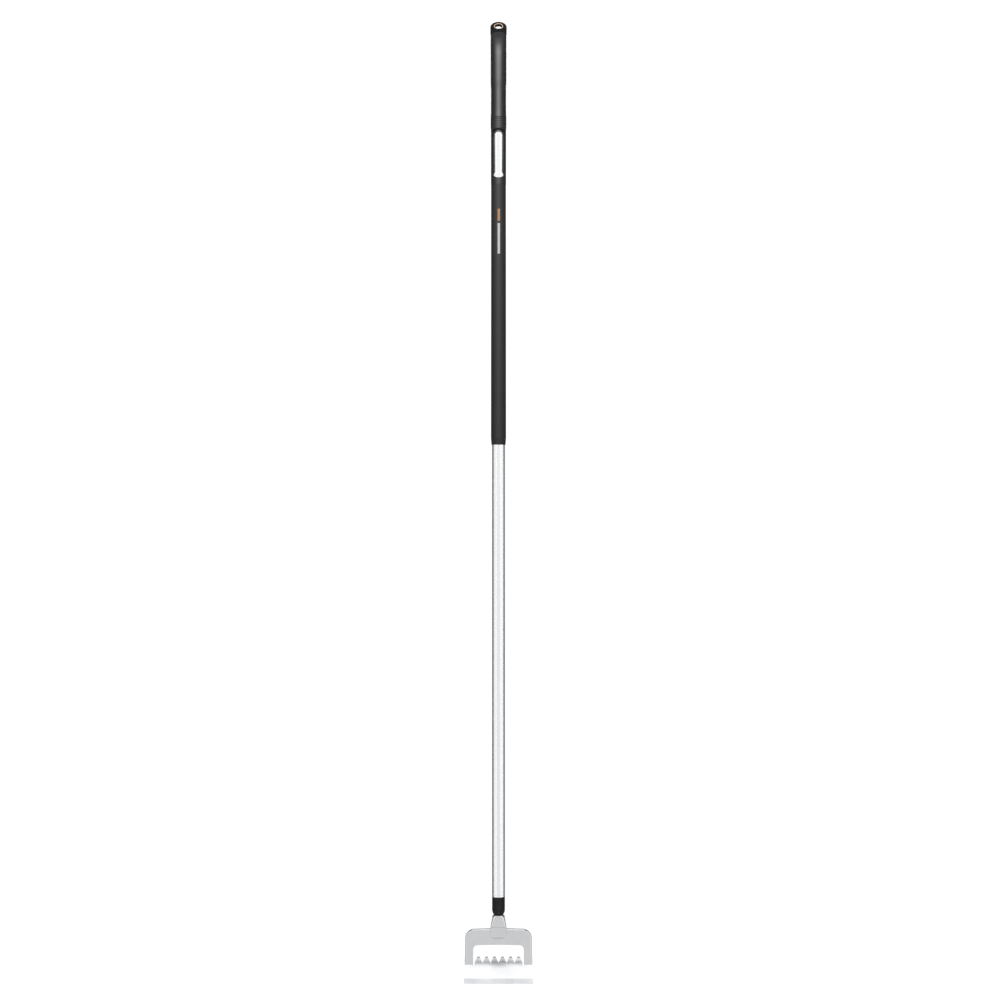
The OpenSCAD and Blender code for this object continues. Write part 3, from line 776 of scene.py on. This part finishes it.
head = {"width": 111.6, "high": 60.4, "edge": 116.8, "shoulder": 15.5, "crown": 1.1, "gap": 84.9,
        "bridge": 27.2, "gapCorner": 7.5, "sheet": 2.4, "rim": 7.2, "roll": 2.6, "front": -6, "straight": 37,
        "bladeAngle": 50,
        "bendRadius": 1.6, "flat": 29, "bevel": 9.1, "edgeThick": 0.5, "teeth": 6, "pitch": 13.45,
        "toothLong": 18.5,
        "toothTip": 3.4, "toothRoot": 3.5, "tipGrind": 5, "tipAngle": 15, "kneeShare": 0.45, "rimFrom": 3,
        "rimFade": 10}
neck = {"long": 22, "lower": 27, "lip": 2.4, "lipOut": 0.5, "pad": 15.4, "padWide": 25.4, "padCorner": 3,
        "padEdge": 0.7, "slot": 9, "slotCorner": 3, "back": 4, "squareness": 12, "squareBy": 1.8,
        "crease": 2.6, "creaseDepth": 0.4}
frameTop = -ferrule["length"] - neck["long"]
bendZ = frameTop - head["high"]
neckTop = seatRadius + 0.1 + head["sheet"]


def makeBlade():
    h = head
    angle = math.radians(h["bladeAngle"])
    tangent = h["bendRadius"] * math.tan(angle / 2)
    legLow = bendZ + tangent
    halfOut, halfGap = h["width"] / 2, h["gap"] / 2
    knee = halfOut + (h["edge"] / 2 - halfOut) * h["kneeShare"]
    legCount, cornerCount, topCount = 12, 12, 12

    def outerAt(i):  # point and outward direction on the frame's border
        shoulderZ = frameTop - h["crown"] - h["shoulder"]
        shoulderX = halfOut - h["shoulder"]
        if i <= legCount:
            z = mix(legLow, shoulderZ, i / legCount)
            x = mix(halfOut, knee, max(0, (frameTop - h["straight"] - z) / (h["high"] - h["straight"])))
            return Vector((x, z)), Vector((1, 0))
        if i <= legCount + cornerCount:
            a = math.pi / 2 * (i - legCount) / cornerCount
            way = Vector((math.cos(a), math.sin(a)))
            return Vector((shoulderX, shoulderZ)) + way * h["shoulder"], way
        x = shoulderX * (1 - (i - legCount - cornerCount) / topCount)
        drop = h["crown"] * (1 - math.cos(math.pi * x / shoulderX)) / 2
        return Vector((x, frameTop - drop)), Vector((0, 1))

    def innerAt(i):
        top = frameTop - h["bridge"]
        cornerX, cornerZ = halfGap - h["gapCorner"], top - h["crown"] / 2 - h["gapCorner"]
        if i <= legCount:
            return Vector((halfGap, mix(legLow, cornerZ, i / legCount)))
        if i <= legCount + cornerCount:
            a = math.pi / 2 * (i - legCount) / cornerCount
            return Vector((cornerX, cornerZ)) + Vector((math.cos(a), math.sin(a))) * h["gapCorner"]
        x = cornerX * (1 - (i - legCount - cornerCount) / topCount)
        return Vector((x, top - h["crown"] / 2 * (1 - math.cos(math.pi * x / cornerX)) / 2))

    plateCount, rollCount, rimCount = 5, 6, 3
    curled = rollCount + rimCount

    def strip(i, j):  # across the sheet from the opening's edge to the end of the rim
        inner = innerAt(i)
        outer, way = outerAt(i)
        edge = outer - way * h["roll"]
        if j <= plateCount:
            p = inner.lerp(edge, j / plateCount)
            return Vector((p.x, h["front"], p.y))
        k = j - plateCount
        flat = edge + way * (h["roll"] * k / curled)
        if k <= rollCount:
            a = math.pi / 2 * k / rollCount
            p = edge + way * (h["roll"] * math.sin(a))
            y = h["front"] + h["roll"] * (1 - math.cos(a))
        else:
            p = outer
            y = mix(h["front"] + h["roll"], h["front"] + h["rim"], (k - rollCount) / rimCount)
        lift = smooth((p.y - (bendZ + h["rimFrom"])) / h["rimFade"])
        p = flat.lerp(p, lift)
        return Vector((p.x, mix(h["front"], y, lift), p.y))

    def bladePoint(x, u):  # x across and u forwards from the bend line, on the blade's upper face
        return Vector((x, h["front"] - u * math.sin(angle), bendZ - u * math.cos(angle)))

    def borderX(z):
        return mix(knee, h["edge"] / 2, (bendZ - z) / ((h["flat"] + h["bevel"]) * math.cos(angle)))

    bm = bmesh.new()
    layer = placeLayer(bm)
    verts = []
    for j in range(plateCount + curled + 1):
        v = bm.verts.new(strip(0, j))
        v[layer] = j
        verts.append(v)
    foot = [bm.edges.new(pair) for pair in zip(verts, verts[1:])]
    edges = foot
    for i in range(1, legCount + cornerCount + topCount + 1):
        edges = sweepRow(bm, edges, lambda i, j: strip(i, j), i)

    # The bend and the blade's flat below the legs.
    bendSteps = 6

    def below(station, j):
        start = strip(0, j)
        kind, value = station
        if kind == "bend":
            a = angle * value
            return Vector((start.x, h["front"] - h["bendRadius"] * (1 - math.cos(a)),
                           legLow - h["bendRadius"] * math.sin(a)))
        p = bladePoint(0, value)
        widen = (borderX(p.z) - halfGap) / (strip(0, plateCount + curled).x - halfGap)
        p.x = halfGap + (start.x - halfGap) * widen
        return p

    for k in range(1, bendSteps + 1):
        foot = sweepRow(bm, foot, below, ("bend", k / bendSteps))
    rowsDown = [6, 14, 22, h["flat"], h["flat"] + 0.5, mix(h["flat"], h["flat"] + h["bevel"], 0.5),
                h["flat"] + h["bevel"]]
    for u in rowsDown:
        foot = sweepRow(bm, foot, below, ("blade", u))

    # The blade's middle, column by column from the leg to the centre line.
    us = [tangent] + rowsDown
    column = []
    for e in bm.edges:
        if all(abs(v.co.x - halfGap) < 0.001 and v.co.z < bladePoint(0, tangent).z + 0.001 for v in e.verts) \
                and len(e.link_faces) == 1:
            column.append(e)
    for v in {v for e in column for v in e.verts}:
        v[layer] = min(range(len(us)), key=lambda n: abs(bladePoint(0, us[n]).z - v.co.z))
    half = h["pitch"] / 2
    centres = [h["pitch"] * (n + 0.5) for n in range(h["teeth"] // 2)][::-1]
    ratios = (1, 0.372, 0, -0.372, -1)
    columns = [centres[0] + half] + [c + r * half for c in centres for r in ratios[1:]]
    for x in columns:
        column = sweepRow(bm, column, lambda x, n: bladePoint(x, us[n]), x)

    # Teeth: a common root, then each tooth on its own.
    def onRoot(e, u, low, high):
        z = bladePoint(0, u).z
        return all(abs(v.co.z - z) < 0.001 and low - 0.001 <= v.co.x <= high + 0.001
                   and abs(v.co.y - bladePoint(0, u).y) < 0.001 for v in e.verts)

    for n, c in enumerate(centres):
        root = [e for e in bm.edges if onRoot(e, tangent, c - half, c + half)]
        for v in {v for e in root for v in e.verts}:
            v[layer] = min(range(5), key=lambda r: abs(c + ratios[r] * half - v.co.x))

        def toothPoint(u, r, c=c):
            taper = max(0, (u - h["toothRoot"]) / (h["toothLong"] - h["toothRoot"]))
            narrow = mix(1, h["toothTip"] / h["pitch"], taper)
            return bladePoint(c + ratios[r] * half * narrow, -u)

        grindFrom = h["toothLong"] - h["tipGrind"]
        for u in (h["toothRoot"], 5, 8, grindFrom, h["toothLong"] - h["tipGrind"] / 2, h["toothLong"]):
            root = sweepRow(bm, root, toothPoint, u)
    bmesh.ops.remove_doubles(bm, verts=bm.verts, dist=0.001)
    bmesh.ops.mirror(bm, geom=bm.verts[:] + bm.edges[:] + bm.faces[:], axis="X", merge_dist=0.001)
    bmesh.ops.remove_doubles(bm, verts=bm.verts, dist=0.001)
    bmesh.ops.recalc_face_normals(bm, faces=bm.faces)
    onBridge = Vector((20, h["front"], frameTop - 15))
    bridge = min(bm.faces, key=lambda f: (f.calc_center_median() - onBridge).length)
    if bridge.normal.y > 0:
        bmesh.ops.reverse_faces(bm, faces=bm.faces)
    bm.normal_update()

    # Thickness, then the ground bevel and the ground tips taken off the upper face.
    upper = bladePoint(0, 0)
    normal = Vector((0, -math.cos(angle), math.sin(angle)))
    forward = Vector((0, -math.sin(angle), -math.cos(angle)))
    marks = bm.verts.layers.float.new("sink")
    for v in bm.verts:
        u = (v.co - upper).dot(forward)
        if abs((v.co - upper).dot(normal)) > 0.01:
            continue
        if u > h["flat"] + 0.01:
            v[marks] = (u - h["flat"]) / h["bevel"] * (h["sheet"] - h["edgeThick"])
        if u < h["tipGrind"] - h["toothLong"] and abs(v.co.x) < halfGap - 0.5:
            v[marks] = (h["tipGrind"] - h["toothLong"] - u) * math.tan(math.radians(h["tipAngle"]))
    offsets = {v.index: v.normal * (-h["sheet"] * v.calc_shell_factor()) for v in bm.verts}
    number = bm.verts.layers.int.new("number")
    for v in bm.verts:
        v[number] = v.index
    original = bm.verts[:]
    made = bmesh.ops.extrude_face_region(bm, geom=bm.faces[:], use_keep_orig=True)["geom"]
    for v in made:
        if isinstance(v, bmesh.types.BMVert):
            v.co += offsets[v[number]]
    for v in bm.verts:
        v[number] = 0
    for v in original:  # -1 marks what grinding moved
        if v[marks]:
            v.co -= normal * v[marks]
            v[number] = -1
    for f in bm.faces:
        if any(v[number] == -1 for v in f.verts) and abs(f.normal.dot(normal)) > 0.5:
            f.material_index = 1
    bmesh.ops.recalc_face_normals(bm, faces=bm.faces)
    bevelEdges(bm, 0.35, 2, 55, lambda e: any(v[number] == -1 for v in e.verts))
    finishPiece("stirrupBlade", bm, toRow, [plated, ground], "head_steel", ["blade_frame"], sharp=30,
                weighted=True)


makeBlade()


def neckPoint(z, inset, share):
    h, n = head, neck
    t = (-ferrule["length"] - z) / n["long"]
    ease = math.sin(math.pi / 2 * max(0, min(1, t)))
    wide = mix(neckTop, n["lower"] / 2, mix(t, ease, 0.85)) - inset
    flat = smooth(t)
    front = mix(neckTop, -h["front"] + h["sheet"], flat) - inset
    back = mix(neckTop, n["back"], flat) - inset
    across, depth = squircle(2 * math.pi * share, 2 / mix(2, n["squareness"], smooth(t * n["squareBy"])))
    return Vector((across * wide, depth * (front if depth < 0 else back), z))


def makeNeck():
    h, n = head, neck
    top = -ferrule["length"]
    out = n["lipOut"]
    crease = frameTop + n["crease"]
    rows = [(top, -out + 0.35), (top - 0.12, -out + 0.1), (top - 0.4, -out), (top - n["lip"] + 0.4, -out),
            (top - n["lip"] + 0.1, -out + 0.15), (top - n["lip"], 0.0)]
    rows += [(z, 0) for z in stops(top - n["lip"] - 0.6, crease + 0.7, 1.6)]
    rows += [(crease + 0.3, 0.25), (crease, n["creaseDepth"]), (crease - 0.3, 0.25), (crease - 0.7, -0.02)]
    rows += [(frameTop + 0.8, 0), (frameTop, 0)]
    inner = [(z, h["sheet"]) for z in stops(frameTop, top - n["lip"], 2)]
    inner += [(top - n["lip"] + 0.1, h["sheet"]), (top, h["sheet"])]
    stations = rows + inner + rows[:1]
    bm = bmesh.new()
    loftRings(bm, 80, stations, lambda ring, k: neckPoint(ring[0], ring[1], k / 80))
    slot = bmesh.new()
    bmesh.ops.create_cube(slot, size=1, matrix=Matrix.Translation((0, 10, (frameTop + top) / 2 - 0.5))
                          @ Matrix.Diagonal((n["slot"], 16, n["long"] - 4 * h["sheet"], 1)))
    through = [e for e in slot.edges if abs(e.verts[0].co.y - e.verts[1].co.y) > 1]
    roundEdges(slot, through, n["slotCorner"], 6)
    bm = joinShapes(bm, slot, "DIFFERENCE")
    pad = bmesh.new()
    bmesh.ops.create_cube(pad, size=1, matrix=Matrix.Translation((0, h["front"] - h["sheet"] / 2,
                                                                    frameTop - n["pad"] / 2 + 1))
                          @ Matrix.Diagonal((n["padWide"], h["sheet"], n["pad"] + 2, 1)))
    lower = [e for e in pad.edges if all(v.co.z < frameTop - 5 for v in e.verts)
             and abs(e.verts[0].co.y - e.verts[1].co.y) > 1]
    roundEdges(pad, lower, n["padCorner"], 6)
    face = h["front"] - h["sheet"]
    rim = [e for e in pad.edges if all(abs(v.co.y - face) < 0.01 and v.co.z < frameTop + 2 for v in e.verts)]
    roundEdges(pad, [e for e in rim if e.calc_face_angle(0) > 1], n["padEdge"], 3)
    bm = joinShapes(bm, pad, "UNION")
    finishPiece("neckSocket", bm, toRow, [plated], "head_steel", ["neck"], sharp=40, weighted=True)


makeNeck()

weld = {"size": 1.15, "ripple": 0.16, "spacing": 1.7, "sides": 20}


def beadAlong(bm, start, end, swell):  # a rippled bead from start to end, its ends rounded off
    length = (end - start).length
    turn = Vector((0, 0, 1)).rotation_difference(end - start).to_matrix()

    def shape(s, k):
        fall = math.sqrt(max(0, 1 - (1 - min(s, length - s, 2) / 2) ** 2))
        wave = 1 + weld["ripple"] * abs(math.sin(math.pi * s / weld["spacing"])) - weld["ripple"]
        r = weld["size"] * swell * wave * fall
        a = 2 * math.pi * k / weld["sides"]
        return start + turn @ Vector((r * math.cos(a), r * math.sin(a), s))

    bead = bmesh.new()
    loftRings(bead, weld["sides"], stops(0, length, 0.3), shape)
    mesh = bpy.data.meshes.new("bead")
    bead.to_mesh(mesh)
    bead.free()
    bm.from_mesh(mesh)
    bpy.data.meshes.remove(mesh)


def makeWelds():
    y = head["front"] - 0.1
    low = frameTop - neck["pad"]
    side = neck["padWide"] / 2 - 0.3
    bm = bmesh.new()
    for x, swell in ((-side, 0.92), (side, 1)):
        beadAlong(bm, Vector((x, y, low + 3.4)), Vector((x, y, frameTop - 3)), swell)
    beadAlong(bm, Vector((-side + 3.4, y, low + 0.1)), Vector((side - 3.4, y, low + 0.1)), 0.92)
    finishPiece("padWelds", bm, toRow, [welded], "weld_steel", ["weld_beads"], sharp=60)


makeWelds()

pinNodes = ("handle_pin", "tang", "tang_pin")
for name in pinNodes:
    frame["nodes"][name].data.materials.clear()
    frame["nodes"][name].data.materials.append(pinMetal)


studio = {"cameraBack": 4, "cameraRight": 0.0025, "cameraHeight": -0.7971, "lens": 85.7, "roomLight": 0.07,
          "paperLight": 1.06}

cameraData = bpy.data.cameras.new("camera")
cameraData.lens = studio["lens"]
cameraData.sensor_width = 36
cameraData.clip_end = 60
camera = bpy.data.objects.new("camera", cameraData)
camera.location = (axisAt.x + studio["cameraRight"], axisAt.y - studio["cameraBack"], studio["cameraHeight"])
camera.rotation_euler = (math.pi / 2, 0, 0)
bpy.context.scene.collection.objects.link(camera)
bpy.context.scene.camera = camera

middle = Vector((0, axisAt.y, studio["cameraHeight"]))


def lit(name, slots):  # the pieces that one light falls on
    group = bpy.data.collections.new(name)
    for o in bpy.context.scene.objects:
        if o.get("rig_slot") in slots:
            group.objects.link(o)
    return group


metalParts = lit("metalParts", ("aluminium", "head_steel", "weld_steel"))
for name in pinNodes:
    metalParts.objects.link(frame["nodes"][name])
polymerParts = lit("polymerParts", ("soft_grip", "soft_sleeve", "hard_plastic", "orange_plastic"))


def softBox(name, place, aim, size, radiance, group):  # radiance is how bright it looks in a mirror
    data = bpy.data.lights.new(name, "AREA")
    data.shape = "RECTANGLE"
    data.size, data.size_y = size
    data.energy = radiance * math.pi * size[0] * size[1]
    light = bpy.data.objects.new(name, data)
    light.location = place
    light.rotation_euler = (aim - place).to_track_quat("-Z", "Y").to_euler()
    light.visible_camera = False
    light.light_linking.receiver_collection = group
    bpy.context.scene.collection.objects.link(light)


def around(azimuth, distance, height):  # azimuth 0 is the camera's side
    a = math.radians(azimuth)
    return middle + Vector((math.sin(a) * distance, -math.cos(a) * distance, height))


# Walls of light for the metal and small keys for the black parts, as flags on stands would share it out.
# The front wall's bands are given by low end, high end and brightness.
frontSteps = [(-3, -0.05, 0.83), (-0.05, 0.7, 0.9), (0.7, 3, 1.02)]
for i, (low, high, radiance) in enumerate(frontSteps):
    centre = (low + high) / 2
    wallName = "frontWall" + str(i + 1)
    softBox(wallName, around(0, 3, centre), middle + Vector((0, 0, centre)), (5.2, high - low), radiance,
            metalParts)
for side, wallName, radiance in ((-1, "leftWall", 0.97), (1, "rightWall", 1.05)):
    softBox(wallName, around(side * 66, 3, 0), middle, (3.3, 6), radiance, metalParts)
softBox("backWall", around(180, 3, -0.75), middle + Vector((0, 0, -0.75)), (6.4, 4.5), 0.42, metalParts)
softBox("topBox", middle + Vector((0, -0.4, 2.6)), middle + Vector((0, -0.4, 0)), (2.6, 3.2), 1.62,
        metalParts)
softBox("floorBounce", middle + Vector((0, 0, -2.2)), middle, (5, 5.6), 0.42, metalParts)
softBox("keyBox", around(0, 2.0, 1.3), middle + Vector((0, 0, 0.7)), (1.6, 0.5), 20, polymerParts)
softBox("highKey", around(0, 2.0, 2.6), middle + Vector((0, 0, 0.75)), (1.6, 0.5), 14, polymerParts)
softBox("backKey", around(180, 2.0, 1.3), middle + Vector((0, 0, 0.7)), (1.6, 0.5), 14, polymerParts)

floorLow = cadBox[0].z - 0.0005
bm = bmesh.new()
bmesh.ops.create_circle(bm, cap_ends=True, segments=96, radius=14,
                        matrix=Matrix.Translation((0, 0, floorLow)))
floorMesh = bpy.data.meshes.new("studioFloor")
bm.to_mesh(floorMesh)
bm.free()
floor = bpy.data.objects.new("studioFloor", floorMesh)
floorMaterial, _, floorShader, _ = startMaterial("whitePaper")
floorShader.inputs["Base Color"].default_value = toLinear("#f4f4f4")
floorShader.inputs["Roughness"].default_value = 0.9
floorShader.inputs["Emission Color"].default_value = (1, 1, 1, 1)
floorShader.inputs["Emission Strength"].default_value = 1
floorMesh.materials.append(floorMaterial)
bpy.context.scene.collection.objects.link(floor)
floor.visible_glossy = False
floor.visible_shadow = False

world = bpy.data.worlds.new("studio")
world.use_nodes = True
bpy.context.scene.world = world
skyTree = world.node_tree
background = skyTree.nodes["Background"]
seen = addNode(skyTree, "ShaderNodeLightPath")
level = addNode(skyTree, "ShaderNodeMapRange", {0: seen.outputs["Is Camera Ray"], 3: studio["roomLight"],
                                                 4: studio["paperLight"]})
skyTree.links.new(level.outputs[0], background.inputs["Strength"])
background.inputs["Color"].default_value = (1, 1, 1, 1)
bpy.context.scene.view_settings.view_transform = "Standard"
print("studio made")
